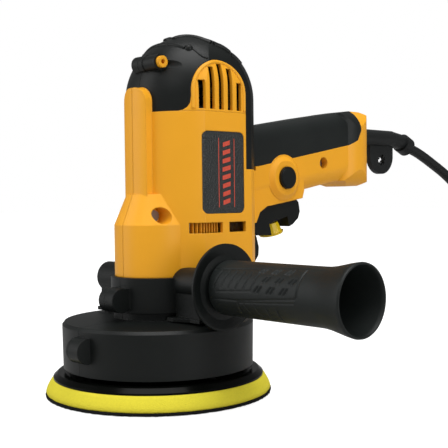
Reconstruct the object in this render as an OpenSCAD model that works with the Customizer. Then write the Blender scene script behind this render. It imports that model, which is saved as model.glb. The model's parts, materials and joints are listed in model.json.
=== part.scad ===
// Rotary polisher: vertical motor, single-stage spur gearbox, 150 mm pad,
// rear D-section handle with paddle trigger, screwed-in side handle.
// Frame: mm, +Z up along the spindle, origin at the centre of the pad's working face,
// -Y is the tool's front, +Y runs along the rear handle, +X is the side-handle side.

/* [Pad and plate] */
// Diameter of the pad's working face
pad_d = 150; // [125:1:180]
// Thickness of the hook fabric
hook_t = 2; // [1.5:0.5:5]
// Thickness of the foam layer
foam_t = 9.5; // [6:0.5:20]
// Diameter of the foam where it meets the plate
foam_top_d = 139; // [115:1:170]

/* [Skirt] */
// Outer diameter of the skirt at its top
skirt_d = 126.6; // [100:0.1:150]
// Height of the skirt's lower rim
skirt_z0 = 18.3; // [16:0.1:24]
// Height of the skirt's upper rim
skirt_z1 = 48.5; // [40:0.5:60]
// Wall of the skirt
skirt_wall = 2.5; // [2:0.1:4]

/* [Head] */
// Outer radius of the black neck
neck_r = 31; // [28:0.5:36]
// Height where the neck meets the orange shell
neck_top = 77.5; // [70:0.5:85]
// Height of the side-handle axis
side_z = 73.3; // [65:0.1:80]
// Half the distance over the two side-handle bosses
boss_x = 57; // [50:1:65]
// Radius of the side-handle bosses
boss_r = 10.5; // [9:0.5:13]

/* [Motor body] */
// Half width of the motor body
body_a = 38.5; // [34:0.5:45]
// Radius the motor body is turned to
body_r = 43.8; // [40:0.2:50]
// Distance of the body's centre behind the spindle
body_y = 30; // [25:0.5:35]
// Height where the dome starts
dome_z = 194.5; // [180:0.5:210]
// Radius of the dome's arc
dome_r = 43.8; // [30:0.1:43.8]
// Wall thickness of the housing
wall = 2.6; // [2:0.1:4]

/* [Gears] */
// Gear module
gear_m = 0.8; // [0.6:0.1:1]
// Teeth on the motor pinion
pinion_z = 8; // [7:1:10]
// Teeth on the spindle gear
gear_z = 62; // [50:2:70]
// Backlash at the pitch circle
backlash = 0.24; // [0.1:0.02:0.4]

/* [Rear handle] */
// Half width of the rear handle
grip_x = 19; // [16:0.5:23]
// Slope of the rear handle
grip_slope = 9; // [0:1:15]
// Radius of the lock button
lock_r = 8; // [6:0.5:10]

/* [Side handle] */
// Radius of the guard disc
guard_r = 26.9; // [22:0.1:32]
// Radius of the soft grip
side_r = 16.9; // [14:0.1:20]
// Radius of the horn end
horn_r = 20.6; // [17:0.1:25]
// End of the side handle
side_end = 172; // [140:1:190]

/* [Cord] */
// Diameter of the mains cord
cord_d = 8.8; // [6:0.1:10]

/* [Part] */
// Sub-part to draw

/* [Hidden] */
$fn = 64;
seam = 0.1;              // half the gap between two shell halves
pad_r = pad_d / 2;
foam_z = hook_t + foam_t;
skirt_r = skirt_d / 2;
skirt_top = skirt_z1 + 1.8;
motor_y = gear_m * (pinion_z + gear_z) / 2;
bulge_r = 28.3;
lean_z = 201;            // height where the sides start to lean in
rib_w = 11.3;
rib_top = 200;
rib_corner = 9;
cap_z = 184;
flange_y = 189;
flange_r = 22.3;
lock_yz = [104, 142];    // axis of the lock button
ring_r = 16.5;           // raised ring round it
dial_yz = [107.5, 107];  // centre of the speed dial
strip_y = 46;
strip_z = 147;
black = [0.13, 0.14, 0.14];
soft = [0.17, 0.18, 0.18];
orange = [0.92, 0.6, 0.16];
steel = [0.72, 0.73, 0.75];
dark_steel = [0.42, 0.43, 0.46];
copper = [0.75, 0.4, 0.2];
alu = [0.66, 0.67, 0.69];

// ---------- shared outlines ----------
function inv_deg(al) = tan(al) * 180 / PI - al;
function tooth_half(z, x, q, base, r) =
  90 / z + 2 * x * tan(20) / z * 180 / PI - backlash / 4 / q * 180 / PI
  + inv_deg(20) - inv_deg(acos(min(1, base / max(r, base))));

// One involute gear outline; x is the profile shift, tip and root in mm.
module gear_outline(z, x, tip, root) {
  q = gear_m * z / 2;
  base = q * cos(20);
  low = max(base, root);
  flank = [for (k = [0 : 4]) low + (tip - low) * k / 4];
  polygon([for (t = [0 : z - 1]) let (c = 360 * t / z) each concat(
    [root * [cos(c - tooth_half(z, x, q, base, low) - 1.5 / z), sin(c - tooth_half(z, x, q, base, low) - 1.5 / z)]],
    [for (k = [0 : 4]) let (h = tooth_half(z, x, q, base, flank[k])) flank[k] * [cos(c - h), sin(c - h)]],
    [for (k = [4 : -1 : 0]) let (h = tooth_half(z, x, q, base, flank[k]))
      flank[k] * [cos(c + h), sin(c + h)]],
    [root * [cos(c + tooth_half(z, x, q, base, low) + 1.5 / z), sin(c + tooth_half(z, x, q, base, low) + 1.5 / z)]]
  )]);
}

module ring(ro, ri, h) difference() { cylinder(r = ro, h = h); translate([0, 0, -1])
  cylinder(r = ri, h = h + 2); }
module along_x(x0, x1, r) translate([x0, 0, 0]) rotate([0, 90, 0]) cylinder(r = r, h = x1 - x0);
module right_half() intersection() { children(); translate([seam, -120, -5]) cube([130, 400, 260]); }
module left_half() intersection() { children(); translate([-seam - 130, -120, -5]) cube([130, 400, 260]); }

// Pear-shaped outline of the gearbox: a circle round the spindle, a smaller one round the motor shaft.
module pear(r0, r1) {
  circle(r = r0);
  translate([-r1, 0]) square([2 * r1, motor_y]);
  translate([0, motor_y]) circle(r = r1);
}

// Motor body: a turned form with a domed top, flattened on both sides so that the sides lean in at the top.
module plan(inset) intersection() {
  translate([0, body_y]) circle(r = body_r - inset);
  translate([-body_a + inset, -50]) square([2 * (body_a - inset), 200]);
}
module body_form(inset, z0) intersection() {
  translate([0, body_y, 0]) rotate_extrude() {
    translate([0, z0]) square([body_r - inset, dome_z - z0]);
    intersection() { translate([body_r - dome_r, dome_z]) circle(r = dome_r - inset);
      translate([0, dome_z]) square([60, 60]); }
  }
  translate([0, 110, 0]) rotate([90, 0, 0]) linear_extrude(180) {
    translate([-body_a + inset, z0 - 1]) square([2 * (body_a - inset), lean_z + 1 - z0]);
    translate([0, lean_z]) circle(r = body_a - inset);
  }
}

module bulge(inset) {
  rotate_extrude() polygon([[0, neck_top], [bulge_r - inset, neck_top], [bulge_r - inset, 111],
    [20 - inset, 131 - inset / 2], [0, 131 - inset / 2]]);
}

// Raised front rib: a slice of a wide cylinder with round top corners.
module rib_outline(grow) {
  translate([-rib_w - grow, neck_top]) square([2 * (rib_w + grow), rib_top - rib_corner - neck_top]);
  translate([rib_corner - rib_w, neck_top]) square([2 * (rib_w - rib_corner), rib_top + grow - neck_top]);
  for (m = [-1, 1]) translate([m * (rib_w - rib_corner), rib_top - rib_corner]) circle(r = rib_corner + grow);
}
module rib() intersection() {
  translate([0, 12.6, neck_top]) cylinder(r = 32, h = rib_top + 5 - neck_top);
  rotate([90, 0, 0]) linear_extrude(25) rib_outline(0);
}

// Side outline of the rear handle, y and z, outside and inside the wall.
handle_out = [[60, 176], [94, 181], [140, 188.6], [188, 195.8], [200, 195.6], [206, 192.5], [210, 185],
  [211, 165],
  [210, 148], [206, 140], [198, 136.2], [184, 135.8], [176, 140], [168, 140], [150, 137], [126, 132.6],
  [124, 127], [86, 121.5], [79, 117.5], [75, 110], [60, 110]];
handle_in = [[58, 173], [94, 178.2], [140, 185.9], [188, 193], [199, 192.9], [204, 190.6], [207.3, 184],
  [208.2, 165],
  [207.3, 149], [203.8, 142], [197.4, 139], [185, 138.6], [177, 142.8], [168, 142.8], [150, 139.8],
    [123.6, 135.2],
  [121.4, 130], [85, 124.4], [76, 119], [72, 112], [58, 112]];
module rounded(w, h, r) {
  square([w - 2 * r, h], center = true);
  square([w, h - 2 * r], center = true);
  for (x = [-1, 1], y = [-1, 1]) translate([x * (w / 2 - r), y * (h / 2 - r)]) circle(r = r);
}
module handle_form(inset) intersection() {
  translate([-grip_x - 5, 0, 0]) rotate([90, 0, 90]) linear_extrude(2 * grip_x + 10)
    polygon(inset > 0 ? handle_in : handle_out);
  union() {
    translate([0, 140, 161.3]) rotate([grip_slope, 0, 0]) translate([0, 52, 0]) rotate([90, 0, 0])
      linear_extrude(140) rounded(2 * (grip_x - inset), 57 - 2 * inset, 14);
    intersection() {
      translate([0, flange_y, 120]) cylinder(r = flange_r - inset, h = 90);
      translate([0, flange_y + 30, 166]) rotate([90, 0, 0]) linear_extrude(60)
        rounded(2 * (flange_r + 0.6 - inset), 62 - 2 * inset, 19 - inset);
    }
    translate([-grip_x + inset + 0.4, 57, 108]) cube([2 * (grip_x - inset - 0.4), 69, 44]);
  }
}

module outer_form() {
  body_form(0, neck_top);
  bulge(0);
  rib();
  handle_form(0);
}
module inner_form() {
  body_form(wall, neck_top + wall);
  translate([0, 0, -1]) bulge(wall);
  handle_form(wall);
}

// Everything on the housing that is black at the top and rear.
module upper_zone() difference() {
  union() {
    translate([-60, -40, cap_z]) cube([120, 140, 80]);
    translate([-60, strip_y, strip_z]) cube([120, 28.5, 60]);
  }
  rotate([90, 0, 0]) linear_extrude(41) rib_outline(0.5);
}
module cap_zone() difference() { upper_zone(); arch(0); }
// Arched window over each side's air intake, with a swept lower front corner.
arch_y = 24;
arch_r = 22;
arch_spring = 12;
module arch(inset) for (x = [-60, 28]) translate([x, arch_y, cap_z]) rotate([90, 0, 90]) linear_extrude(32) {
  translate([-arch_r + inset, inset]) square([2 * (arch_r - inset), arch_spring]);
  intersection() {
    translate([0, arch_spring]) circle(r = arch_r - inset);
    translate([-30, arch_spring / 2]) square([60, 40]);
  }
  polygon([[1 - arch_r, inset], [inset - 28, inset], [inset - 25.8, 0.6 + inset], [inset - 23.8, 2.4 + inset],
    [inset - 22.5, 5 + inset], [inset - arch_r, 9], [1 - arch_r, 9]]);
}
module grip_zone() {
  difference() {
    translate([-30, 0, 0]) rotate([90, 0, 90])
      linear_extrude(60) polygon([[77, 150], [178, 168], [186, 172], [190, 180], [188, 200], [60, 200],
        [60, 150]]);
    translate([-30, lock_yz[0], lock_yz[1]]) rotate([0, 90, 0]) cylinder(r = ring_r + 0.5, h = 60);
    body_form(0, neck_top);
  }
}

label_y0 = 7.5;
label_y1 = 43.8;
label_z0 = 118;
label_z1 = 171.3;
module label_block(inset) {
  translate([-60, (label_y0 + label_y1) / 2, (label_z0 + label_z1) / 2]) rotate([90, 0, 90])
    linear_extrude(120) rounded(label_y1 - label_y0 - 2 * inset, label_z1 - label_z0 - 2 * inset, 4);
}

screw_sites = [[-13.1, 117, 5.4], [148, 153.5, 4.4]];   // y, z and counterbore radius of the housing screws
module bearing(ro, ri, h) {
  difference() {
    cylinder(r = ro, h = h);
    translate([0, 0, -1]) cylinder(r = ri, h = h + 2);
    for (z = [-1, h - 0.6]) translate([0, 0, z]) difference() {
      cylinder(r = ro - 1.8, h = 1.6);
      translate([0, 0, -1]) cylinder(r = ri + 1.6, h = 4);
    }
  }
}

// ---------- housing ----------
module shell() {
  difference() {
    outer_form();
    difference() { inner_form(); shell_ribs(); }
    upper_zone();
    grip_zone();
    // label recess
    difference() { label_block(-0.1); body_form(1.2, 90); }
    // gearbox opening
    translate([0, 0, neck_top - 1]) linear_extrude(wall + 3) pear(25.7, 16.8);
    // exhaust slots over the fan
    for (y = [[0.5, 24], [30, 45]]) translate([-60, y[0], 105.5]) cube([120, y[1] - y[0], 6.7]);
    // trigger mouth and the dial's finger room
    translate([-10.9, 78.5, 100]) cube([21.8, 47, 38]);
    // bosses: lock button, trigger pivot, handle screw, cord
    translate([0, lock_yz[0], lock_yz[1]]) along_x(0, 30, lock_r + 0.08);
    translate([0, 92, 130]) along_x(-14.05, 14.05, 2.55);
    for (s = screw_sites) translate([0, s[0], s[1]]) { along_x(12, 40, s[2]); along_x(-20, 20, 1.6); }
    translate([0, 190, 176.6]) rotate([-90, 0, 0]) cylinder(r = 7.3, h = 30);
  }
}
module shell_ribs() {
  // seat for the trigger's pivot
  translate([0, 92, 130]) { along_x(11.3, 17.5, 5); along_x(-17.5, -11.3, 5); }
  for (s = screw_sites) translate([0, s[0], s[1]]) along_x(-30, 30, s[2] + 1.3);
}
module lock_ring() {
  difference() {
    translate([0, lock_yz[0], lock_yz[1]]) {
      along_x(grip_x - 1, grip_x, ring_r);
      translate([grip_x - 0.5, 0, 0]) rotate([0, 90, 0]) cylinder(r1 = ring_r, r2 = ring_r - 4, h = 3);
    }
    translate([0, lock_yz[0], lock_yz[1]]) along_x(0, 30, lock_r + 0.08);
    translate([-1, 60, 100]) cube([50, 17, 80]);
  }
}
module shell_right() color(orange) {
  right_half() { shell(); }
  lock_ring();
}
module shell_left() color(orange) left_half() shell();

// the cap's front screw boss: y and z of its axis, and its right end
boss_end = 16.5;
boss_yz = [-8.7, 215.8];
bush_r = 3;              // the bush's sleeve
module cap_body() difference() {
  union() {
    difference() {
      intersection() { body_form(0, neck_top); cap_zone(); }
      difference() { body_form(wall, neck_top + wall); bearing_bridge(); }
    }
    translate([0, boss_yz[0], boss_yz[1]]) {
      along_x(-6.8, 4.2, 5.7);
      along_x(-6, boss_end, 5.2);
    }
  }
  translate([0, boss_yz[0], boss_yz[1]]) {
    along_x(8, 20, bush_r);
    along_x(-5, 9, 1.7);
    // pocket swept into the cap beside the boss
    intersection() {
      translate([boss_end - 4, -1.9, 0]) rotate([0, 0, 25]) along_x(0, 24, 5);
      translate([boss_end, -20, -10]) cube([30, 40, 20]);
    }
  }
  translate([0, motor_y, 195.9]) cylinder(r = 11, h = 7.2);
  translate([0, motor_y, 190]) cylinder(r = 8, h = 30);
}
module bearing_bridge() {
  translate([0, motor_y, 195.5]) cylinder(r = 14, h = 9);
  translate([-7, motor_y, 197]) cube([14, 60, 4]);
  translate([-26, motor_y - 7, 197]) cube([52, 14, 4]);
  // floor of the pocket beside the boss
  translate([0, boss_yz[0], boss_yz[1]]) rotate([0, 0, 12]) along_x(-7, 30, 9);
}
module cap_right() color(black) right_half() cap_body();
module cap_left() color(black) left_half() cap_body();

slot_w = 4.2;
slot_pitch = 7.9;
slot_rim = 2.5;          // least width of the arch left round the slots
module grille() {
  difference() {
    intersection() {
      difference() { body_form(0, neck_top); body_form(wall, neck_top + wall); }
      arch(0.05);
    }
    for (i = [-2 : 2])
      let (top = arch_spring + sqrt(pow(arch_r - slot_rim, 2) - pow(abs(i) * slot_pitch + slot_w / 2, 2)))
        translate([-60, arch_y + i * slot_pitch - slot_w / 2, cap_z + 1.5]) cube([120, slot_w, top - 1.5]);
  }
}
module grille_right() color(orange) intersection() { grille(); translate([5, -50, 0]) cube([100, 200, 300]); }
module grille_left() color(orange) intersection() { grille(); translate([-105, -50, 0])
  cube([100, 200, 300]); }

module label_plate() difference() {
  intersection() { label_block(0); body_form(0.2, 90); }
  body_form(1.2, 89);
}
module label_right() color(black) intersection() { label_plate(); translate([5, -50, 0])
  cube([100, 200, 300]); }
module label_left() color(black) intersection() { label_plate(); translate([-105, -50, 0])
  cube([100, 200, 300]); }

module grip() difference() {
  intersection() { handle_form(0); grip_zone(); }
  handle_form(wall);
}
module grip_right() color(soft) right_half() grip();
module grip_left() color(soft) left_half() grip();

module rear_trim() color(black) difference() {
  translate([-9, 0, 0]) rotate([90, 0, 90]) linear_extrude(18)
    polygon([[70, 80], [82, 80.5], [86.5, 86], [87, 92], [85.5, 97], [84.5, 100], [79.2, 103.5],
      [79.2, 109.7], [70, 109.7]]);
  body_form(0, neck_top - 3);
}

module housing_screws() color(dark_steel)
  for (s = screw_sites) translate([0, s[0], s[1]]) { along_x(12, 14, 3.6); along_x(-15, 12, 1.6); }

module cap_bushes() color(orange) translate([0, boss_yz[0], boss_yz[1]])
  difference() {
    union() {
      along_x(9, boss_end + 0.1, bush_r);
      along_x(boss_end, boss_end + 2.8, 3.8);
    }
    along_x(8, 20, 1.5);
  }

// ---------- gearbox ----------
case_z0 = 50.5;
case_floor = 57;
module gear_case() color(alu) difference() {
  union() {
    translate([0, 0, case_z0]) linear_extrude(22.5) pear(28.3, 9.6);
    translate([0, 0, 73]) linear_extrude(4.2) pear(28.3, 16.6);
    translate([0, 0, 40]) cylinder(r = 22, h = 12);
  }
  translate([0, 0, case_floor]) linear_extrude(30) pear(25.8, 7);
  translate([0, 0, 42]) cylinder(r = 17.5, h = 11);
  translate([0, 0, 39]) cylinder(r = 16, h = 10);
  translate([0, 0, 50]) cylinder(r = 9.5, h = 10);
  plate_screw_holes();
}
plate_screw_pts = [[-9.9, 37.6], [9.9, 37.6]];
module plate_screw_holes() for (p = plate_screw_pts) translate([p[0], p[1], 0]) {
  translate([0, 0, 72]) cylinder(r = 1.4, h = 10);
  translate([0, 0, 78.1]) cylinder(r = 2.6, h = 10);
}
module gear_plate() color(alu) difference() {
  union() {
    translate([0, 0, 77.2]) linear_extrude(3) pear(25.6, 16.6);
    translate([0, 0, 70.3]) cylinder(r = 14, h = 9);
    translate([0, motor_y, 77.2]) cylinder(r = 13.5, h = 9);
  }
  translate([0, 0, 71.2]) cylinder(r = 11, h = 7);
  translate([0, 0, 70]) cylinder(r = 9, h = 3);
  translate([0, motor_y, 78.6]) cylinder(r = 11, h = 8);
  translate([0, motor_y, 76]) cylinder(r = 6, h = 4);
  plate_screw_holes();
}
module plate_screws() color(dark_steel) for (p = plate_screw_pts) translate([p[0], p[1], 0]) {
  translate([0, 0, 73.2]) cylinder(r = 1.4, h = 6);
  translate([0, 0, 78.1]) cylinder(r = 2.5, h = 2.1);
}

cover_z0 = 55;
lug_y = -36;
lug_z = 63.5;
module head_cover() {
  difference() {
    union() {
      translate([0, 0, cover_z0]) linear_extrude(neck_top - cover_z0 - 0.05) pear(neck_r, 19.5);
      for (m = [0, 1]) mirror([m, 0, 0]) {
        translate([0, 0, side_z]) { along_x(26, boss_x - 2, boss_r);
          along_x(boss_x - 2.1, boss_x, boss_r - 1.5); }
        translate([26, -9, skirt_top + 0.2]) cube([26, 18, side_z - skirt_top]);
        translate([0, 0, skirt_top + 0.2]) linear_extrude(2.4) polygon([[28, -15.5], [34, -15.5],
          [45, -11], [54, -11], [54, 11], [45, 11], [34, 15.5], [28, 15.5]]);
      }
      // clamp lug
      translate([0, lug_y, lug_z]) along_x(-6, 8.6, 7.8);
      translate([-6, lug_y, lug_z - 6]) cube([14.6, 10, 13.5]);
    }
    translate([0, 0, 40]) linear_extrude(60) pear(28.5, 17);
    translate([0, 0, 45]) cylinder(r = 29.8, h = cover_z0 - 0.05 - 45);
    translate([0, lug_y, lug_z]) { along_x(-12, 7, 1.8); along_x(-12, -3.5, 3.6); }
    // keep clear of the orange shell
    translate([0, 0, neck_top - 0.05]) linear_extrude(20) pear(bulge_r + 0.3, 20);
    translate([0, 0, neck_top - 0.05]) linear_extrude(20) plan(-0.3);
    for (m = [0, 1]) mirror([m, 0, 0]) translate([0, 0, side_z]) along_x(boss_x - 18, boss_x + 1, 6.5);
  }
}
module head_cover_right() color(black) right_half() head_cover();
module head_cover_left() color(black) left_half() head_cover();
module cover_screws() color(dark_steel) translate([0, lug_y, lug_z]) { along_x(-5.6, -3.5, 3.5);
  along_x(-3.6, 6.8, 1.8); }

module skirt() {
  difference() {
    union() {
      rotate_extrude() polygon([[22.2, skirt_z0], [skirt_r - 0.5, skirt_z0], [skirt_r, skirt_z1 - 2],
        [skirt_r - 1.6, skirt_z1],
        [34, skirt_top - 0.2], [29.5, skirt_top], [29.5, cover_z0 - 0.1], [28.4, cover_z0 - 0.1],
          [28.4, skirt_top], [22.2, skirt_top]]);
      for (m = [0, 1]) mirror([0, m, 0]) translate([0, -63.5, 35]) along_x(-2, 10.3, 8);
    }
    for (m = [0, 1]) mirror([0, m, 0]) translate([0, -64.5, 35]) { along_x(-12, 8.8, 1.8);
      along_x(-12, -2, 3.4); }
    translate([0, 0, 10]) cylinder(r = skirt_r - skirt_wall - 0.3, h = skirt_z1 - 2.3 - 10);
    // passage of the gearbox through the collar
    translate([-10, 24, skirt_top + 0.1]) cube([20, 10, 10]);
  }
}
module skirt_right() color(black) right_half() skirt();
module skirt_left() color(black) left_half() skirt();
module skirt_screws() color(dark_steel) for (m = [0, 1]) mirror([0, m, 0])
  translate([0, -64.5, 35]) { along_x(-3.8, -2, 3.2); along_x(-2.1, 8.7, 1.8); }

// ---------- side handle ----------
core_end = 110;
horn_d = 25;
stud_tip = boss_x - 16;
module handle_bushes() color(steel) translate([0, 0, side_z]) for (m = [0, 1]) mirror([m, 0, 0])
  difference() { along_x(boss_x - 18, boss_x - 0.1, 6.5); along_x(boss_x - 19, boss_x + 1, 3.4); }
module side_handle_core() color(black) translate([0, 0, side_z]) rotate([0, 90, 0]) rotate_extrude()
  polygon([[4, boss_x], [11.5, boss_x], [12.5, 60], [12.5, 62], [guard_r - 3, 63], [guard_r, 65.2],
    [guard_r, 66.6],
    [guard_r - 1.5, 66.6], [20, 65.2], [14, 66.5], [14, 68], [9, 68], [9, core_end], [4, core_end]]);
module side_handle_grip() color(soft) translate([0, 0, side_z]) rotate([0, 90, 0]) rotate_extrude()
  polygon([[9, 68.05], [side_r - 1.2, 68.05], [side_r, 70], [side_r, side_end - 26],
    [side_r + 0.1, side_end - 22], [side_r + 0.7, side_end - 17],
    [side_r + 1.7, side_end - 12], [side_r + 2.8, side_end - 7], [horn_r - 0.1, side_end - 3],
      [horn_r, side_end - 1.5], [horn_r - 0.3, side_end - 0.3],
    [horn_r - 1.2, side_end], [horn_r - 1.8, side_end - 3], [horn_r - 3, side_end - 8],
      [horn_r - 4.2, side_end - 13], [horn_r - 6, side_end - 20],
    [horn_d / 2 + 0.3, side_end - 28], [horn_d / 2, core_end + 0.05], [9, core_end + 0.05]]);
module side_handle_stud() color(steel) translate([0, 0, side_z]) {
  along_x(stud_tip, boss_x, 3.4);
  along_x(boss_x, core_end, 4);
  translate([core_end, 0, 0]) rotate([0, 90, 0]) cylinder(r = 7.3, h = 5.3, $fn = 6);
}

// ---------- motor ----------
stack_z0 = 120;
stack_z1 = 158;
slot_angles = [48, 132, 228, 312];
module stator_core() color(dark_steel) translate([0, motor_y, stack_z0]) difference() {
  cylinder(r = 28.5, h = stack_z1 - stack_z0);
  translate([0, 0, -1]) cylinder(r = 18.2, h = 60);
  for (a = slot_angles) rotate(a) translate([15, -3.2, -1]) cube([10.5, 6.4, 60]);
}
module field_coils() color(copper) translate([0, motor_y, 0]) {
  for (a = slot_angles) rotate(a) translate([19.5, -3, stack_z0 - 7.9])
    cube([5.8, 6, stack_z1 - stack_z0 + 15.8]);
  for (z = [stack_z0 - 8, stack_z1 + 0.1]) for (a = [48, 228]) rotate(a) translate([0, 0, z])
    rotate_extrude(angle = 84) translate([19.5, 0]) square([6, 7.9]);
}
module brush_holders() color([0.2, 0.17, 0.14]) {
  difference() {
    translate([0, 0, 186.2]) linear_extrude(2.2) difference() {
      intersection() { plan(wall + 0.05); translate([-28, -50]) square([56, 200]); }
      translate([0, motor_y]) circle(r = 13);
      for (s = [-1, 1]) translate([0, body_y + s * 26]) square([30, 14], center = true);
    }
  }
  for (m = [0, 1]) mirror([m, 0, 0]) difference() {
    translate([13, motor_y - 5.5, 174]) cube([17, 11, 12.3]);
    translate([10, motor_y - 3, 176]) cube([22, 6, 8]);
  }
}
module brushes() color([0.12, 0.12, 0.13]) for (m = [0, 1]) mirror([m, 0, 0])
  translate([11.4, motor_y - 3, 176]) cube([15, 6, 8]);
module upper_bearing() color(steel) translate([0, motor_y, 196]) bearing(11, 4.04, 7);
module lower_bearing() color(steel) translate([0, motor_y, 78.7]) bearing(11, 4.04, 7);
module spindle_bearing_lower() color(steel) translate([0, 0, 42]) bearing(17.5, 7.54, 11);
module spindle_bearing_upper() color(steel) translate([0, 0, 71.2]) bearing(11, 4.04, 7);

module motor_shaft() color(steel) translate([0, motor_y, 0]) {
  translate([0, 0, 58]) cylinder(r = 1.7, h = 14);
  translate([0, 0, 72]) cylinder(r = 4, h = 133);
}
module pinion() color(steel) translate([0, motor_y, 58.6]) difference() {
  linear_extrude(10.4) gear_outline(pinion_z, 0.4, gear_m * (pinion_z / 2 + 1.35), gear_m * (pinion_z / 2 - 0.9));
  translate([0, 0, -1]) cylinder(r = 1.7, h = 13);
}
module armature_core() color(dark_steel) translate([0, motor_y, stack_z0]) difference() {
  cylinder(r = 17.5, h = stack_z1 - stack_z0);
  translate([0, 0, -1]) cylinder(r = 4, h = 60);
  for (i = [0 : 11]) rotate(30 * i + 15) translate([16, -0.9, -1]) cube([3, 1.8, 60]);
}
module armature_windings() color(copper) translate([0, motor_y, 0])
  for (z = [[stack_z0 - 9, stack_z0],
    [stack_z1, stack_z1 + 11]]) translate([0, 0, z[0]]) ring(15.5, 4, z[1] - z[0]);
module commutator() color(copper) translate([0, motor_y, stack_z1 + 11]) difference() {
  cylinder(r = 11, h = 18);
  translate([0, 0, -1]) cylinder(r = 4, h = 22);
  for (i = [0 : 23]) rotate(15 * i) translate([10.4, -0.2, 2]) cube([2, 0.4, 20]);
}
module fan() color([0.25, 0.25, 0.27]) translate([0, motor_y, 93]) {
  ring(28, 4, 1.8);
  ring(9, 4, 11);
  for (i = [0 : 12]) rotate(i * 360 / 13) translate([8.5, -0.6, 1.7]) cube([19, 1.2, 9.3]);
}

// ---------- spindle ----------
module spindle() color(steel) rotate_extrude() polygon([[0, 13], [6, 13], [7, 14], [7, 30], [11, 30],
  [11, 34], [9, 34], [9, 41.9],
  [7.5, 41.9], [7.5, 69.2], [5.5, 69.2], [5.5, 71], [4, 71], [4, 78], [0, 78]]);
module spindle_gear() color(dark_steel) translate([0, 0, 59]) difference() {
  linear_extrude(9) gear_outline(gear_z, -0.4, gear_m * gear_z / 2 + 0.3, gear_m * (gear_z / 2 - 1.7));
  translate([0, 0, -1]) cylinder(r = 7.5, h = 12);
  for (i = [0 : 5]) rotate(60 * i) translate([15.5, 0, -1]) cylinder(r = 3.4, h = 12);
}
plate_z = foam_z + 0.02;
module backing_plate() color(black) difference() {
  union() {
    rotate_extrude() polygon([[9, plate_z], [foam_top_d / 2, plate_z], [foam_top_d / 2, plate_z + 1.2],
      [66.5, 15.4], [62, 15.6],
      [60, 14.2], [24, 14.2], [18, 18], [15.5, 30], [9, 30]]);
    for (i = [0 : 7]) rotate(45 * i) translate([16, -1.2, 14]) cube([40, 2.4, 1.4]);
  }
}
module plate_bush() color(steel) translate([0, 0, plate_z + 0.9]) ring(9, 7, 30 - plate_z - 0.9);
module foam_pad() color([0.87, 0.81, 0.2]) rotate_extrude()
  polygon([[0, hook_t + 0.02], [pad_r - 1, hook_t + 0.02], [foam_top_d / 2, foam_z], [12, foam_z],
    [12, 8], [0, 8]]);
module hook_face() color([0.08, 0.08, 0.09]) rotate_extrude()
  polygon([[0, 0], [pad_r - 0.7, 0], [pad_r, 0.7], [pad_r, hook_t - 0.5], [pad_r - 0.5, hook_t],
    [0, hook_t]]);

// ---------- controls ----------
pivot = [92, 130];
module trigger() color(black) difference() {
  union() {
    translate([-10.4, 0, 0]) rotate([90, 0, 90]) linear_extrude(20.8)
      polygon([[84, 100.5], [98, 100.2], [110, 103], [122, 107.5], [128, 112], [130, 117], [128.5, 124],
        [125, 127.5], [116, 129.6],
        [98, 130.2], [94.5, 132], [88, 132.5], [84.5, 130], [79.6, 118], [79.6, 104]]);
    translate([0, pivot[0], pivot[1]]) along_x(-13.6, 13.6, 2.5);
    // finger that works the switch
    translate([-3, 110, 124]) cube([6, 4, 9.9]);
  }
  body_form(-0.5, neck_top);
  // pocket for the dial, open at both sides
  translate([-12, dial_yz[0], dial_yz[1]]) rotate([15, 0, 0]) translate([0, -10, -8]) cube([24, 20, 12.3]);
  // hollow towards the handle
  difference() { translate([-8, 94, 122]) cube([16, 28, 14]); translate([-3, 110, 121]) cube([6, 4, 20]); }
}
module speed_dial() color([0.95, 0.83, 0.05]) translate([0, dial_yz[0],
  dial_yz[1]]) rotate([15, 0, 0]) translate([0, 0, -5.4])
  difference() {
    union() {
      cylinder(r1 = 8.6, r2 = 6.6, h = 7.5, $fn = 12);
      translate([0, 0, -1.4]) cylinder(r1 = 8.8, r2 = 9.6, h = 1.42, $fn = 48);
      cylinder(r = 2.4, h = 9.4);
    }
    translate([-5, -0.6, -2]) cube([10, 1.2, 1.3]);
  }
module lock_button() color(black) translate([0, lock_yz[0], lock_yz[1]]) difference() {
  union() {
    along_x(13.4, 23.4, lock_r);
    along_x(22.4, 23.9, lock_r - 1);
    along_x(11, 13.5, 9.2);
  }
  along_x(10, 14, 5);
}
module switch_module() color([0.18, 0.18, 0.2]) {
  translate([-7, 96, 137]) cube([14, 30, 24]);
}
module lock_spring() color(steel) translate([0, lock_yz[0],
  lock_yz[1]]) difference() { along_x(7.05, 13.9, 4.4); along_x(6, 15, 3.4); }
module speed_board() color([0.1, 0.4, 0.22]) {
  translate([-15, 152, 160]) cube([1.6, 32, 20]);
  translate([-13.4, 158, 164]) cube([8, 14, 10]);
}
module capacitor() color([0.8, 0.65, 0.2]) translate([5, 152, 167]) rotate([-90, 0, 0])
  cylinder(r = 6.5, h = 24);
module cord_clamp() color(black) difference() {
  translate([-14, 190, 167]) cube([28, 8, 8]);
  translate([0, 180, 176.6]) rotate([-90, 0, 0]) cylinder(r = 4.6, h = 30);
}

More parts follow.
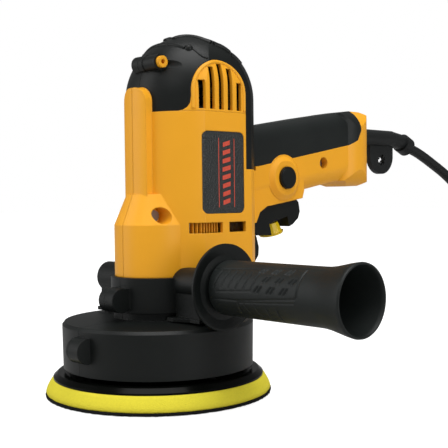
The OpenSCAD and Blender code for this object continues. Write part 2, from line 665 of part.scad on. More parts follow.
// ---------- cord ----------
// Sweep of rings along a path; the first and last rings are closed flat.
function unit(v) = v / norm(v);
function dir_at(p, i) = unit(i == 0 ? p[1] - p[0] : i == len(p) - 1 ? p[i] - p[i - 1] : unit(p[i + 1] - p[i]) + unit(p[i] - p[i - 1]));
function side_at(d) = unit(cross(d, abs(d[0]) < 0.9 ? [1, 0, 0] : [0, 1, 0]));
module sweep(path, radii, n) {
  rings = [for (i = [0 : len(path) - 1]) let (d = dir_at(path, i), s = side_at(d), t = cross(d, s))
    [for (k = [0 : n - 1]) path[i] + radii[i] * (cos(360 * k / n) * s + sin(360 * k / n) * t)]];
  last = len(path) - 1;
  polyhedron(points = [for (q = rings) each q], faces = concat(
    [[for (k = [n - 1 : -1 : 0]) k]],
    [[for (k = [0 : n - 1]) last * n + k]],
    [for (i = [0 : last - 1]) for (k = [0 : n - 1]) let (j = (k + 1) % n) each
      [[i * n + k, i * n + j, (i + 1) * n + j], [i * n + k, (i + 1) * n + j, (i + 1) * n + k]]]));
}
// Points on a smooth curve through hand-chosen stations.
function spline_pt(a, b, c, d, t) = 0.5 * ((2 * b) + (c - a) * t + (2 * a - 5 * b + 4 * c - d) * t * t + (3 * b - a - 3 * c + d) * t * t * t);
function smooth(p, m) = concat([for (i = [1 : len(p) - 3]) for (k = [0 : m - 1]) spline_pt(p[i - 1],
  p[i], p[i + 1], p[i + 2], k / m)], [p[len(p) - 2]]);

star_y = 243;
star_z = 158.4;
module strain_relief() color(black) {
  translate([0, 203, 176.6]) rotate([-90, 0, 0]) cylinder(r1 = 7.25, r2 = 6.9, h = 55);
  translate([0, 257, 176.6]) rotate([-98, 0, 0]) cylinder(r1 = 6.8, r2 = 6.6, h = 19);
  translate([0, 273.6, 173.9]) rotate([-114, 0, 0]) cylinder(r = 8.2, h = 9);
  translate([-2.2, 0, 0]) rotate([90, 0, 90]) linear_extrude(4.4) difference() {
    union() {
      translate([227, 160]) square([31.6, 12]);
      intersection() { translate([242.8, 162.5]) circle(r = 16); translate([227, 140]) square([31.6, 21]); }
    }
    translate([star_y, star_z]) for (k = [0 : 2]) rotate(60 * k + 15) square([9.4, 2.6], center = true);
  }
}
cord_r = cord_d / 2;
coil_mean = 5.6 * cord_d;
coil_c = [62, 395];
coil_in = coil_mean - 1.5 * cord_d;
coil_out = coil_mean + 1.5 * cord_d;
coil_h = 2 * cord_d;
// stations of the free stretch: out of the boot, down to the floor, into the coil's outer turn
cord_pts = [[0, 268, 176.5], [0, 281.5, 170.8], [0, 300, 165], [0, 322, 156], [0, 347, 144.3],
  [0, 372, 128], [0, 394, 106],
  [1, 411, 80], [4, 425, 53], [11, 436, 29], [24, 445, 12], [42, 451, cord_r + 0.2], [coil_c[0],
    coil_c[1] + coil_out - cord_r, cord_r + 0.2],
  [coil_c[0] + 20, coil_c[1] + coil_out - cord_r - 3, cord_r + 0.2]];
module power_cord() color(black) sweep(smooth(cord_pts, 5), [for (i = [0 : 5 * (len(cord_pts) - 3)])
  cord_r], 10);
module cord_coil() color(black) translate([coil_c[0], coil_c[1], 0]) rotate_extrude()
  polygon([[coil_in + 2, 0], [coil_out - 2, 0], [coil_out, 2.5], [coil_out, coil_h / 2],
    [coil_out - 3, coil_h - 2], [coil_out - 5, coil_h],
    [coil_in + 5, coil_h], [coil_in + 3, coil_h - 2], [coil_in, coil_h / 2], [coil_in, 2.5]]);
// the plug lies along the coil's top
plug_turn = -30;
module on_coil() translate([coil_c[0], coil_c[1],
  coil_h]) rotate(plug_turn) translate([coil_mean + 2, 0, 0]) rotate(-90) children();
module plug_body() color(black) on_coil() {
  translate([0, 0, 0.02]) linear_extrude(17) rounded(40, 26, 4);
  translate([-20, 0, 8.5]) rotate([0, -90, 0]) cylinder(r1 = 6.5, r2 = 5, h = 14);
}
module plug_pins() color(steel) on_coil()
  for (s = [-1, 1]) translate([20, s * 9.5, 8.5]) rotate([0, 90, 0]) cylinder(r = 2.4, h = 19);

shell_right();
shell_left();
cap_right();
cap_left();
grille_right();
grille_left();
label_right();
label_left();
grip_right();
grip_left();
rear_trim();
housing_screws();
cap_bushes();
gear_case();
gear_plate();
plate_screws();
head_cover_right();
head_cover_left();
cover_screws();
skirt_right();
skirt_left();
skirt_screws();
handle_bushes();
side_handle_core();
side_handle_grip();
side_handle_stud();
stator_core();
field_coils();
brush_holders();
brushes();
upper_bearing();
lower_bearing();
spindle_bearing_lower();
spindle_bearing_upper();
switch_module();
lock_spring();
speed_board();
capacitor();
cord_clamp();
strain_relief();
power_cord();
cord_coil();
plug_body();
plug_pins();
spindle();
spindle_gear();
backing_plate();
plate_bush();
foam_pad();
hook_face();
motor_shaft();
pinion();
armature_core();
armature_windings();
commutator();
fan();
trigger();
speed_dial();
lock_button();
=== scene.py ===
import bpy, bmesh, json, math
from mathutils import Vector, Matrix, noise


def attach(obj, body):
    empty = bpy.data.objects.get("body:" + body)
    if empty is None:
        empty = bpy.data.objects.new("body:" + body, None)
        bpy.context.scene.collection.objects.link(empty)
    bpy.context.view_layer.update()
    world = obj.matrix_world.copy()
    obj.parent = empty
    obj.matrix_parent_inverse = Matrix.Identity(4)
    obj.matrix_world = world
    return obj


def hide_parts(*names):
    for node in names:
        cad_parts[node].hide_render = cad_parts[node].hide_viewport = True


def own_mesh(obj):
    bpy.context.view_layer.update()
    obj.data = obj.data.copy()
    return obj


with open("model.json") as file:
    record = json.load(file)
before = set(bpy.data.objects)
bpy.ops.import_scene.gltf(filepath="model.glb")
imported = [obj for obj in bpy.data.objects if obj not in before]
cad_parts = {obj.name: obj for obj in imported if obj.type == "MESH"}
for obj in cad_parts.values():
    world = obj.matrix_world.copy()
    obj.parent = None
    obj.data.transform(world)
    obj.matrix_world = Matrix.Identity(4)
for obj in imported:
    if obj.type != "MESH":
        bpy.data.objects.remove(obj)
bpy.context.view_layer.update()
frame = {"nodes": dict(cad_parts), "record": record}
scene = bpy.context.scene
scene.view_settings.view_transform = "Standard"
MM = 0.001


def pt(x, y, z):
    """A point given in millimetres."""
    return Vector((x * MM, y * MM, z * MM))


# ---------------------------------------------------------------- camera
cam_data = bpy.data.cameras.new("camera")
cam = bpy.data.objects.new("camera", cam_data)
scene.collection.objects.link(cam)
CAM_LENS, CAM_SENSOR, CAM_PLACE = 71.44, 36.0, (462.96, -371.35, 129.46)
cam_data.lens = CAM_LENS
cam_data.sensor_width = CAM_SENSOR
cam_data.clip_start, cam_data.clip_end = 0.01, 50
right = Vector((0.68275, 0.73056, -0.01115)).normalized()
back = Vector((0.73048, -0.68219, 0.03177)).normalized()
up = back.cross(right).normalized()
right = up.cross(back)
pose = Matrix((right, up, back)).transposed().to_4x4()
pose.translation = pt(*CAM_PLACE)
cam.matrix_world = pose
scene.camera = cam


# ---------------------------------------------------------------- materials
def lin(r, g, b):
    """sRGB 0-255 to linear."""
    return tuple(((c / 255 + 0.055) / 1.055) ** 2.4 if c > 10 else c / 255 / 12.92 for c in (r, g, b))


def material(name, colour, rough, vary=0.06, vary_scale=30, grain=0.03, grain_scale=1400, bevel=0.5,
             metallic=0.0, specular=0.5, rough_vary=0.06, voronoi=False):
    """A moulded or machined surface: uneven tone, uneven gloss, fine grain and softened edges."""
    made = bpy.data.materials.new(name)
    made.use_nodes = True
    tree = made.node_tree
    tree.nodes.clear()
    output = tree.nodes.new("ShaderNodeOutputMaterial")
    shader = tree.nodes.new("ShaderNodeBsdfPrincipled")
    tree.links.new(shader.outputs[0], output.inputs[0])
    place = tree.nodes.new("ShaderNodeTexCoord")
    tone = tree.nodes.new("ShaderNodeTexNoise")
    tone.inputs["Scale"].default_value = vary_scale
    tone.inputs["Detail"].default_value = 4
    tree.links.new(place.outputs["Object"], tone.inputs["Vector"])
    ramp = tree.nodes.new("ShaderNodeValToRGB")
    dark = [c * (1 - vary) for c in colour]
    light = [min(1, c * (1 + vary)) for c in colour]
    ramp.color_ramp.elements[0].position, ramp.color_ramp.elements[0].color = 0.3, (*dark, 1)
    ramp.color_ramp.elements[1].position, ramp.color_ramp.elements[1].color = 0.7, (*light, 1)
    tree.links.new(tone.outputs["Fac"], ramp.inputs["Fac"])
    tree.links.new(ramp.outputs["Color"], shader.inputs["Base Color"])
    fine = tree.nodes.new("ShaderNodeTexVoronoi" if voronoi else "ShaderNodeTexNoise")
    fine.inputs["Scale"].default_value = grain_scale
    tree.links.new(place.outputs["Object"], fine.inputs["Vector"])
    level = fine.outputs["Distance" if voronoi else "Fac"]
    gloss = tree.nodes.new("ShaderNodeMapRange")
    gloss.inputs["To Min"].default_value = max(0.02, rough - rough_vary)
    gloss.inputs["To Max"].default_value = min(1, rough + rough_vary)
    tree.links.new(tone.outputs["Fac"], gloss.inputs["Value"])
    tree.links.new(gloss.outputs["Result"], shader.inputs["Roughness"])
    bump = tree.nodes.new("ShaderNodeBump")
    bump.inputs["Strength"].default_value = 1.0
    bump.inputs["Distance"].default_value = grain * MM
    tree.links.new(level, bump.inputs["Height"])
    if bevel:
        soft = tree.nodes.new("ShaderNodeBevel")
        soft.samples = 4
        soft.inputs["Radius"].default_value = bevel * MM
        tree.links.new(soft.outputs[0], bump.inputs["Normal"])
    tree.links.new(bump.outputs[0], shader.inputs["Normal"])
    shader.inputs["Metallic"].default_value = metallic
    shader.inputs["Specular IOR Level"].default_value = specular
    return made


LOOKS = {
    "orange_plastic": material("orange_moulded", lin(241, 168, 34), 0.4, vary=0.02, grain=0.02,
                               bevel=1.1, specular=0.3),
    "black_plastic": material("black_moulded", lin(15, 18, 17), 0.42, vary=0.2, grain=0.05,
                              bevel=0.7, specular=0.22),
    "soft_black": material("soft_grip", lin(21, 25, 24), 0.48, vary=0.2, grain=0.05, bevel=0.7,
                           specular=0.25),
    "gloss_black": material("black_gloss", lin(5, 6, 5), 0.2, vary=0.1, grain=0.01, bevel=0.5,
                            specular=0.06),
    "label_black": material("label_grain", lin(30, 34, 33), 0.42, vary=0.3, vary_scale=500,
                            grain=0.5, grain_scale=900, voronoi=True, bevel=0.3),
    "steel": material("bright_steel", (0.6, 0.6, 0.61), 0.3, metallic=1.0, bevel=0.3),
    "dark_steel": material("oiled_steel", (0.25, 0.25, 0.26), 0.38, metallic=1.0, bevel=0.3),
    "die_cast": material("cast_metal", (0.5, 0.51, 0.52), 0.5, metallic=1.0, grain=0.15,
                         grain_scale=500, bevel=0.5),
    "copper": material("enamelled_wire", (0.55, 0.22, 0.08), 0.35, metallic=0.8, grain=0.2,
                       grain_scale=700),
    "board": material("circuit_board", (0.02, 0.14, 0.06), 0.4),
    "foam": material("foam", lin(214, 201, 58), 0.9, vary=0.04, vary_scale=900, grain=0.18,
                     grain_scale=1500, bevel=0, voronoi=True, specular=0.1),
    "hook": material("hook_fabric", lin(16, 16, 17), 0.95, grain=0.4, grain_scale=1200,
                     voronoi=True, bevel=0, specular=0.15),
    "dial_yellow": material("dial_yellow", lin(236, 200, 10), 0.38, vary=0.03, bevel=0.4),
    "cord_rubber": material("cord_rubber", lin(22, 24, 24), 0.5, vary=0.15, grain=0.03, bevel=0.4,
                            specular=0.25),
    "carbon": material("carbon", (0.02, 0.02, 0.021), 0.6),
    "brass": material("plated_brass", (0.75, 0.66, 0.42), 0.25, metallic=1.0, bevel=0.3),
    "print_red": material("red_print", lin(206, 74, 52), 0.5, vary=0.1, vary_scale=800, grain=0.02,
                          bevel=0),
}
slots = {s["node"]: s["material_slot"] for s in frame["record"]["subparts"]}
for name, node in frame["nodes"].items():
    node.data.materials.clear()
    node.data.materials.append(LOOKS[slots[name]])


# ---------------------------------------------------------------- building helpers
def new_object(name, mesh, mat, body):
    """A new piece of the tool, riding on a body."""
    made = bpy.data.objects.new(name, mesh)
    scene.collection.objects.link(made)
    if mesh is not None and mat is not None:
        mesh.materials.append(mat)
    if body:
        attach(made, body)
    return made


def mesh_of(bm, name, smooth=True):
    """The finished mesh of a form."""
    bmesh.ops.recalc_face_normals(bm, faces=bm.faces)
    made = bpy.data.meshes.new(name)
    bm.to_mesh(made)
    bm.free()
    for p in made.polygons:
        p.use_smooth = smooth
    return made


def smooth_route(points, steps):
    """Points on a smooth curve through the stations; the first and last only steer."""
    out = []
    for i in range(1, len(points) - 2):
        a, b, c, d = points[i - 1:i + 3]
        for k in range(steps):
            t = k / steps
            out.append(0.5 * ((2 * b) + (c - a) * t + (2 * a - 5 * b + 4 * c - d) * t * t
                              + (3 * b - a - 3 * c + d) * t ** 3))
    out.append(points[-2])
    return out


# ---------------------------------------------------------------- cord
CORD_D = 8.8
COIL = Vector((62, 395, 0))
MEAN = 5.6 * CORD_D
# inside the boot, out of it, and down to the surface the tool stands on
stations = [Vector(p) for p in (
    (0, 268, 176.5), (0, 281.5, 170.8), (0, 300, 165), (0, 322, 156), (0, 347, 144.3), (0, 372, 128),
    (0, 394, 106), (1, 411, 80), (4, 425, 53), (11, 436, 29), (24, 445, 12), (42, 451, 4.8))]


def on_coil(angle, radius, z):
    """A point by its angle and distance round the coil's middle."""
    a = math.radians(angle)
    return COIL + Vector((radius * math.cos(a), radius * math.sin(a), z))


def ease(t):
    """0 to 1, starting and ending gently."""
    t = min(1, max(0, t))
    return t * t * (3 - 2 * t)


FLOOR_Z, UPPER_Z, TOP_Z = 4.8, 13.3, 22.4
OUTER = MEAN + CORD_D / 2
FIRST_ANGLE, STEP, TURN_POINTS = 90, 15, 24
# each turn's radius and height, then where on the turn it starts to move over and to climb to the
# next one's place, each with the angle that takes; (0, 1) where the next one has the same value
turns = [
    (MEAN + CORD_D, FLOOR_Z, 240, 120, 0, 1),
    (MEAN, FLOOR_Z, 240, 120, 0, 1),
    (MEAN - CORD_D, FLOOR_Z, 285, 75, 232, 90),
    (MEAN - CORD_D / 2, UPPER_Z, 240, 120, 0, 1),
    (OUTER, UPPER_Z, 0, 1, 140, 120),
    (OUTER, TOP_Z, 0, 1, 0, 1),
]
wound = []
for k, (turn, following) in enumerate(zip(turns, turns[1:])):
    radius, z, over, over_span, up, up_span = turn
    next_radius, next_z = following[:2]
    for i in range(TURN_POINTS):
        gone = STEP * i
        wound.append(on_coil(FIRST_ANGLE - 360 * k - gone,
                             radius + (next_radius - radius) * ease((gone - over) / over_span),
                             z + (next_z - z) * ease((gone - up) / up_span)))
# the plug lies along the coil's top
PLUG_TURN, PLUG_HALF, PLUG_TAIL = -30, 8.5, 34
plug_out = Vector((math.cos(math.radians(PLUG_TURN)), math.sin(math.radians(PLUG_TURN)), 0))
plug_dir = Vector((plug_out.y, -plug_out.x, 0))
plug_mid = on_coil(PLUG_TURN, MEAN + 2, 2 * CORD_D + PLUG_HALF)
# the end swings wide of the coil and meets the plug's tail square on
LOOP, LOOP_POINTS = 4.3 * CORD_D, 10
loop_mid = plug_mid - PLUG_TAIL * plug_dir - LOOP * plug_out
away = (loop_mid - COIL).to_2d()
leave = math.degrees(math.atan2(away.y, away.x) + math.acos((OUTER - LOOP) / away.length))


def on_loop(k):
    """Point k of the wide loop, which rises to the plug over its first two thirds."""
    a = math.radians(leave + (PLUG_TURN - leave) * k / (LOOP_POINTS - 1))
    rise = (TOP_Z - plug_mid.z) * (1 - ease(k / 6))
    return loop_mid + Vector((LOOP * math.cos(a), LOOP * math.sin(a), rise))


start = on_coil(leave, OUTER, TOP_Z)
arc = [on_loop(k) for k in range(LOOP_POINTS)]
to_plug = [plug_mid - s * plug_dir for s in (26, 18, 10)]
lead = [start.lerp(arc[0], k / 3) for k in range(3)] + arc + to_plug
route = smooth_route(stations + wound[:2], 4)[:-1] + smooth_route([stations[-1]] + wound + lead, 2)
curve = bpy.data.curves.new("mains_cord", "CURVE")
curve.dimensions = "3D"
curve.bevel_depth = CORD_D / 2 * MM
curve.bevel_resolution = 5
curve.use_fill_caps = True
spline = curve.splines.new("POLY")
spline.points.add(len(route) - 1)
for p, v in zip(spline.points, route):
    p.co = (*(v * MM), 1)
cord = new_object("mains_cord", curve, LOOKS["cord_rubber"], "housing")
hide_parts("power_cord", "cord_coil")

# ---------------------------------------------------------------- pad
FOAM_LOW, FOAM_TOP, FOAM_HOLE = 2.05, 11.45, 12
HOOK_LOW, HOOK_TOP, HOOK_HOLE = 0.05, 2.0, 0.5
RIM_FROM = 50              # only the rim, beyond this radius, is uneven
FOAM_STEPS, FOAM_UNEVEN = 240, 0.22
HOOK_STEPS, HOOK_UNEVEN, HOOK_TRIM = 360, 0.55, 0.3


def turned(profile, steps, wobble):
    """A turned form round the spindle; profile is (radius, height), wobble moves a point in or out."""
    bm = bmesh.new()
    rings = []
    for k in range(steps):
        a = 2 * math.pi * k / steps
        ring = []
        for r, z in profile:
            out = r + wobble(a, r)
            ring.append(bm.verts.new(pt(out * math.cos(a), out * math.sin(a), z)))
        rings.append(ring)
    n = len(profile)
    for k in range(steps):
        one, two = rings[k], rings[(k + 1) % steps]
        for i in range(n):
            j = (i + 1) % n
            bm.faces.new((one[i], two[i], two[j], one[j]))
    return bm


def uneven(a, size):
    """Slow and fast unevenness round the rim, the same each run."""
    slow = noise.noise(Vector((math.cos(a) * 9, math.sin(a) * 9, size * 31)))
    fast = noise.noise(Vector((math.cos(a) * 47, math.sin(a) * 47, size)))
    return size * (slow + 0.7 * fast)


def foam_wobble(a, r):
    """The foam's cut edge."""
    return uneven(a, FOAM_UNEVEN) if r > RIM_FROM else 0


def hook_wobble(a, r):
    """The fabric's ragged edge, trimmed back a little."""
    return uneven(a * 3, HOOK_UNEVEN) - HOOK_TRIM if r > RIM_FROM else 0


foam_side = [(73.0, FOAM_LOW), (73.9, FOAM_LOW + 0.3), (74.2, FOAM_LOW + 1.2), (73.7, 5.2), (72.5, 7.6),
             (71.2, 9.7), (70.3, 11), (69.6, FOAM_TOP)]
foam_form = turned([(FOAM_HOLE, FOAM_LOW)] + foam_side + [(FOAM_HOLE, FOAM_TOP)], FOAM_STEPS, foam_wobble)
foam = new_object("pad_foam", mesh_of(foam_form, "pad_foam"), LOOKS["foam"], "spindle_assembly")
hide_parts("foam_pad")
hook_side = [(74.0, 0.1), (74.7, 0.3), (74.9, 1.0), (74.8, 1.7), (74.2, HOOK_TOP)]
hook_form = turned([(HOOK_HOLE, HOOK_LOW)] + hook_side + [(HOOK_HOLE, HOOK_TOP)], HOOK_STEPS, hook_wobble)
hook = new_object("pad_hook", mesh_of(hook_form, "pad_hook"), LOOKS["hook"], "spindle_assembly")
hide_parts("hook_face")

# ---------------------------------------------------------------- side handle's soft grip
GRIP_R, GRIP_Z, HORN_R, CORE_END = 16.9, 73.3, 20.6, 110
ROWS, ROW_GAP, AROUND = 146, 0.5, 220
ARC = math.pi * GRIP_R / 180
# grooves on the unrolled grip as (x, degrees round it)
PANEL_A = [(70, 47), (80, 49), (140.5, 67), (140, 26), (139.5, 2), (138, -2), (93, -16), (70, -17)]
PANEL_B = [(92.5, -44), (93, -20), (137.5, -10)]
SLANTS = [((77 + 6.2 * i, 45), (73.5 + 6.2 * i, 8)) for i in range(6)]
SLANTS += [((98 + 8.5 * i, -22), (101 + 7.5 * i, -48 - 6 * i)) for i in range(4)]
SLANTS.append(((76, -1), (105, 6)))
# (half width, depth) of the panel lines, the slanted lines and the dimples
PANEL_CUT, SLANT_CUT, DIMPLE_CUT = (0.7, 0.6), (0.55, 0.45), (1.0, 0.9)
DIMPLES = [(110 + 10 * i + 5 * (row % 2), 52 - 21 * row) for row in range(3) for i in range(3)]


def flat(p):
    """A place on the unrolled grip, in millimetres both ways."""
    return Vector((p[0], p[1] * ARC))


def cuts():
    """Grooves as (start, end, half width, depth) on the unrolled grip."""
    panels = list(zip(PANEL_A, PANEL_A[1:])) + list(zip(PANEL_B, PANEL_B[1:]))
    out = [(flat(a), flat(b), *PANEL_CUT) for a, b in panels]
    out += [(flat(a), flat(b), *SLANT_CUT) for a, b in SLANTS]
    # a dimple is two short slanted lines side by side
    for x, a in DIMPLES:
        for shift in (-1.3, 1.3):
            out.append((flat((x + shift + 1.1, a + 5)), flat((x + shift - 1.1, a - 5)), *DIMPLE_CUT))
    return out


CUTS = cuts()
# the pattern lies inside these limits
PATTERN_LOW, PATTERN_HIGH, PATTERN_START, PATTERN_END = -70, 72, 69, 142


def groove_depth(x, angle):
    """The pattern repeats on the far side of the grip."""
    deepest = 0
    for turn in (0, 180):
        a = (angle - turn + 90) % 360 - 90
        if not PATTERN_LOW < a < PATTERN_HIGH or not PATTERN_START < x < PATTERN_END:
            continue
        p = flat((x, a))
        for s, e, half, deep in CUTS:
            if min(s.x, e.x) - half > p.x or max(s.x, e.x) + half < p.x:
                continue
            d = e - s
            t = min(1, max(0, (p - s).dot(d) / d.length_squared))
            gap = (p - s - d * t).length / half
            if gap < 1:
                deepest = max(deepest, deep * (1 - gap * gap) ** 2)
    return deepest


# as (radius, x): the outside, then the horn and back down its hollow
grip_start = [(10.5, 68.1), (15.7, 68.1), (16.5, 68.8)]
grip_outer = grip_start + [(GRIP_R, 69.5 + ROW_GAP * i) for i in range(ROWS)]
grip_horn = [(GRIP_R, 146), (17.0, 150), (17.6, 155), (18.6, 160), (19.7, 165), (20.4, 169),
             (HORN_R, 170.5), (20.4, 171.6), (19.8, 171.95), (19.3, 171.6), (18.8, 169), (17.6, 164),
             (16.4, 159), (14.6, 152), (12.8, 144), (12.5, 140), (12.5, CORE_END + 0.1),
             (10.5, CORE_END + 0.1)]
bm = bmesh.new()
rings = []
for k in range(AROUND):
    angle = 360 * k / AROUND
    ca, sa = math.cos(math.radians(angle)), math.sin(math.radians(angle))
    ring = []
    for i, (r, x) in enumerate(grip_outer + grip_horn):
        if len(grip_start) <= i < len(grip_outer):
            r -= groove_depth(x, angle)
        ring.append(bm.verts.new(pt(x, -r * ca, GRIP_Z + r * sa)))
    rings.append(ring)
for one, two in zip(rings, rings[1:] + rings[:1]):
    for i in range(len(one)):
        j = (i + 1) % len(one)
        bm.faces.new((one[i], two[i], two[j], one[j]))
grip_mesh = mesh_of(bm, "side_grip_moulded")
grip = new_object("side_grip_moulded", grip_mesh, LOOKS["soft_black"], "housing")
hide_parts("side_handle_grip")

# ---------------------------------------------------------------- motor body details
# the CAD body: a domed cylinder with flat sides that curve in above LEAN_Z
BODY_R, BODY_A, BODY_Y, DOME_Z, LEAN_Z = 43.8, 38.5, 30, 194.5, 201


def arc_height(radius, across):
    """Height of a circle's arc at a distance from its middle; none outside it."""
    return math.sqrt(max(0.0, radius ** 2 - across ** 2))


def dome_top(x, y):
    """Height of the cap's surface above (x, y)."""
    out = math.hypot(x, y - BODY_Y)
    return min(DOME_Z + arc_height(BODY_R, out), LEAN_Z + arc_height(BODY_A, x))


def side_face(y, z):
    """How far the body's side stands out at (y, z)."""
    r = arc_height(BODY_R, max(0, z - DOME_Z))
    lean = arc_height(BODY_A, max(0, z - LEAN_Z))
    return min(lean, arc_height(r, y - BODY_Y))


def bead(name, points, radius, mat, body="housing"):
    """A rounded raised line through the points."""
    curve = bpy.data.curves.new(name, "CURVE")
    curve.dimensions = "3D"
    curve.bevel_depth = radius * MM
    curve.bevel_resolution = 4
    curve.use_fill_caps = True
    line = curve.splines.new("POLY")
    line.points.add(len(points) - 1)
    for p, v in zip(line.points, points):
        p.co = (*(Vector(v) * MM), 1)
    return new_object(name, curve, mat, body)


# each ridge as (x, y) points on the cap, with the radius of its bead
RIDGES = {
    "front": ([(0, 5), (5, 5), (10.5, 6), (16, 7), (21, 8.5)], 1.8),
    "side": ([(25, 11.5), (29, 12.5), (32, 14), (34, 16.5)], 0.8),
    "crown": ([(4.5, 13), (5, 17.5), (8, 21), (14, 23.5), (19.5, 25.5), (24, 28)], 2.3),
    "rear": ([(24.5, 30), (25.5, 34), (27.5, 37.5), (29.5, 39.5)], 2.1),
    "shoulder": ([(31, 40), (32, 43.5), (33.5, 46)], 2.0),
}
KNOB_X, KNOB_Y, KNOB_R, KNOB_SINK = 22.6, 10.2, 2.9, 1.2
RIDGE_SINK = 0.4           # share of a ridge's radius that its middle lies below the cap
# the air intake's arch, and the raised rim on it
ARCH_Y, ARCH_Z, RIM_R, RIM_BEAD, RIM_SINK = 24, 196, 20.6, 1.35, 0.45
LEG_POINTS, LEG_GAP = 8, 1.5    # the rim's straight legs below the arch
# the fins behind the front exhaust slot
FINS, FIN_PITCH, FIN_Y, FIN_Z, FIN_SINK = 10, 2.3, 2.2, 108.85, 5.5
FIN_SIZE, FIN_EDGE = (3.0, 0.9, 6.9), 0.15
for side, mark in ((1, "right"), (-1, "left")):
    for name, (line, radius) in RIDGES.items():
        way = smooth_route([Vector((side * x, y, 0)) for x, y in [line[0]] + line + [line[-1]]], 5)
        way = [(v.x, v.y, dome_top(v.x, v.y) - RIDGE_SINK * radius) for v in way]
        bead("cap_ridge_%s_%s" % (name, mark), way, radius, LOOKS["black_plastic"])
    # round boss at the ridge's end
    bm = bmesh.new()
    bmesh.ops.create_uvsphere(bm, u_segments=24, v_segments=14, radius=KNOB_R * MM)
    knob_z = dome_top(KNOB_X, KNOB_Y) - KNOB_SINK
    bmesh.ops.translate(bm, verts=bm.verts, vec=pt(side * KNOB_X, KNOB_Y, knob_z))
    knob = mesh_of(bm, "cap_knob_" + mark)
    new_object("cap_knob_" + mark, knob, LOOKS["black_plastic"], "housing")
    # raised rim round the air intake
    rim = [(ARCH_Y - RIM_R, ARCH_Z - LEG_GAP * i) for i in reversed(range(LEG_POINTS))]
    for t in range(6, 180, 6):
        turn = math.radians(t)
        rim.append((ARCH_Y - RIM_R * math.cos(turn), ARCH_Z + RIM_R * math.sin(turn)))
    rim += [(ARCH_Y + RIM_R, ARCH_Z - LEG_GAP * i) for i in range(LEG_POINTS)]
    rim = [(side * (side_face(y, z) - RIM_SINK), y, z) for y, z in rim]
    bead("intake_rim_" + mark, rim, RIM_BEAD, LOOKS["orange_plastic"])
    # fins behind the front exhaust slot
    bm = bmesh.new()
    for i in range(FINS):
        y = FIN_Y + FIN_PITCH * i
        x = side_face(y, FIN_Z) - FIN_SINK
        made = bmesh.ops.create_cube(bm, size=1)["verts"]
        bmesh.ops.scale(bm, verts=made, vec=pt(*FIN_SIZE))
        bmesh.ops.translate(bm, verts=made, vec=pt(side * x, y, FIN_Z))
    bmesh.ops.bevel(bm, geom=bm.edges[:], offset=FIN_EDGE * MM, segments=1, affect="EDGES")
    fins = mesh_of(bm, "exhaust_fins_" + mark, smooth=False)
    new_object("exhaust_fins_" + mark, fins, LOOKS["orange_plastic"], "housing")


# ---------------------------------------------------------------- the lock button's spring
SPRING_X0, SPRING_X1, SPRING_R, WIRE_R, PRESS = 7.05, 13.9, 3.9, 0.45, 3.0
LOCK_Y, LOCK_Z = 104, 142
COILS, STEPS = 5, 24
helix = []
for k in range(COILS * STEPS + 1):
    a = 2 * math.pi * k / STEPS
    x = SPRING_X0 + WIRE_R + (SPRING_X1 - SPRING_X0 - 2 * WIRE_R) * k / (COILS * STEPS)
    helix.append((x, LOCK_Y + SPRING_R * math.cos(a), LOCK_Z + SPRING_R * math.sin(a)))
guide = bead("spring_guide", helix, WIRE_R, None, body=None)
wire = bpy.data.meshes.new_from_object(guide)
bpy.data.objects.remove(guide)
spring = new_object("button_spring", wire, LOOKS["steel"], "housing")
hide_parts("lock_spring")
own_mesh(spring)

# ---------------------------------------------------------------- label print
# two upright rules with a column of slanted bars between them
PRINT_IN = 0.13            # the print lies this far inside the flat side, on the sunk label
RULE_YS, RULE_HALF, RULE_Z0, RULE_Z1 = (21.2, 35.0), 0.28, 122, 167
BARS, BAR_Y, BAR_Z, BAR_PITCH, BAR_T, BAR_SLANT = 8, 28.1, 123.4, 5.4, 2.9, 1.7
BAR_REACH, BAR_TAPER = 7.4, 0.35


def label_patch(bm, x, outline):
    """A flat printed shape at x, through its (y, z) corners."""
    bm.faces.new([bm.verts.new(pt(x, y, z)) for y, z in outline])


for side, mark in ((1, "right"), (-1, "left")):
    bm = bmesh.new()
    face = side * (BODY_A - PRINT_IN)
    for y in RULE_YS:
        near, far = y - RULE_HALF, y + RULE_HALF
        label_patch(bm, face, [(near, RULE_Z0), (far, RULE_Z0), (far, RULE_Z1), (near, RULE_Z1)])
    for i in range(BARS):
        z = BAR_Z + BAR_PITCH * i
        reach = BAR_REACH - BAR_TAPER * abs(i - (BARS - 1) / 2)
        near, far = BAR_Y - reach / 2, BAR_Y + reach / 2
        far_z = z + BAR_SLANT
        label_patch(bm, face, [(near, z), (near, z + BAR_T), (far, far_z + BAR_T), (far, far_z)])
    printed = mesh_of(bm, "label_print_" + mark, smooth=False)
    new_object("label_print_" + mark, printed, LOOKS["print_red"], "housing")

# ---------------------------------------------------------------- stage
floor_mesh = bpy.data.meshes.new("floor")
FLOOR_HALF, FLOOR_LOW, FLOOR_GLOW, FILL, BACKDROP = 6, -0.0003, 0.78, 0.2, 1.0
corners = [(-1, -1), (1, -1), (1, 1), (-1, 1)]
corners = [(FLOOR_HALF * x, FLOOR_HALF * y, FLOOR_LOW) for x, y in corners]
floor_mesh.from_pydata(corners, [], [(0, 1, 2, 3)])
floor = bpy.data.objects.new("floor", floor_mesh)
scene.collection.objects.link(floor)
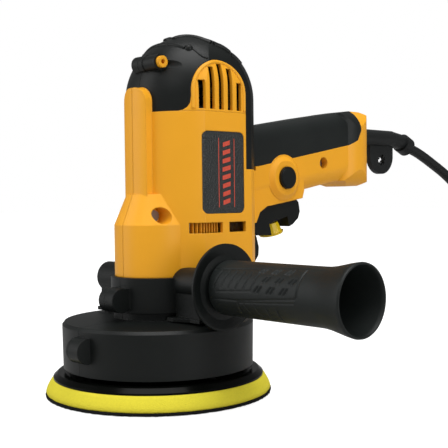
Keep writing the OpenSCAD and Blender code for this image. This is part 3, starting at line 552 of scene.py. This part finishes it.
# the floor and the backdrop look white to the camera and stay dim as light sources
paper = material("floor_paper", (0.45, 0.45, 0.45), 0.9, vary=0.01, grain=0.0, bevel=0, specular=0.0)
seen = paper.node_tree.nodes.new("ShaderNodeLightPath")
glow = paper.node_tree.nodes.new("ShaderNodeMath")
glow.operation = "MULTIPLY"
glow.inputs[1].default_value = FLOOR_GLOW
paper.node_tree.links.new(seen.outputs["Is Camera Ray"], glow.inputs[0])
lit = next(n for n in paper.node_tree.nodes if n.type == "BSDF_PRINCIPLED")
lit.inputs["Emission Color"].default_value = (1, 1, 1, 1)
paper.node_tree.links.new(glow.outputs[0], lit.inputs["Emission Strength"])
floor_mesh.materials.append(paper)

world = bpy.data.worlds.new("studio")
scene.world = world
world.use_nodes = True
sky = world.node_tree
fill = sky.nodes["Background"]
fill.inputs[0].default_value = (1, 1, 1, 1)
fill.inputs[1].default_value = FILL
backdrop = sky.nodes.new("ShaderNodeBackground")
backdrop.inputs[0].default_value = (1, 1, 1, 1)
backdrop.inputs[1].default_value = BACKDROP
asked = sky.nodes.new("ShaderNodeLightPath")
mix = sky.nodes.new("ShaderNodeMixShader")
sky.links.new(asked.outputs["Is Camera Ray"], mix.inputs[0])
sky.links.new(fill.outputs[0], mix.inputs[1])
sky.links.new(backdrop.outputs[0], mix.inputs[2])
sky.links.new(mix.outputs[0], sky.nodes["World Output"].inputs[0])


AIM = (0, 0.05, 0.12)


def softbox(name, place, size, power):
    """An area light aimed at the middle of the tool."""
    light = bpy.data.lights.new(name, "AREA")
    light.shape, light.size, light.size_y, light.energy = "RECTANGLE", size[0], size[1], power
    holder = bpy.data.objects.new(name, light)
    scene.collection.objects.link(holder)
    holder.location = place
    holder.rotation_mode = "QUATERNION"
    holder.rotation_quaternion = (Vector(AIM) - Vector(place)).to_track_quat("-Z", "Y")


def wide_sun(name, direction, spread, strength):
    """A sun with soft shadows, shining along the direction."""
    light = bpy.data.lights.new(name, "SUN")
    light.energy = strength
    light.angle = math.radians(spread)
    holder = bpy.data.objects.new(name, light)
    scene.collection.objects.link(holder)
    holder.rotation_mode = "QUATERNION"
    holder.rotation_quaternion = Vector(direction).to_track_quat("-Z", "Y")


wide_sun("overhead", (-0.15, 0.1, -1), 50, 2.6)
softbox("left_panel", (-1.0, -1.25, 0.7), (0.9, 1.6), 10)
softbox("right_panel", (1.7, 0.1, 0.6), (0.9, 1.6), 14.5)
softbox("front_panel", (0.5, -1.5, 1.2), (1.0, 0.8), 5)
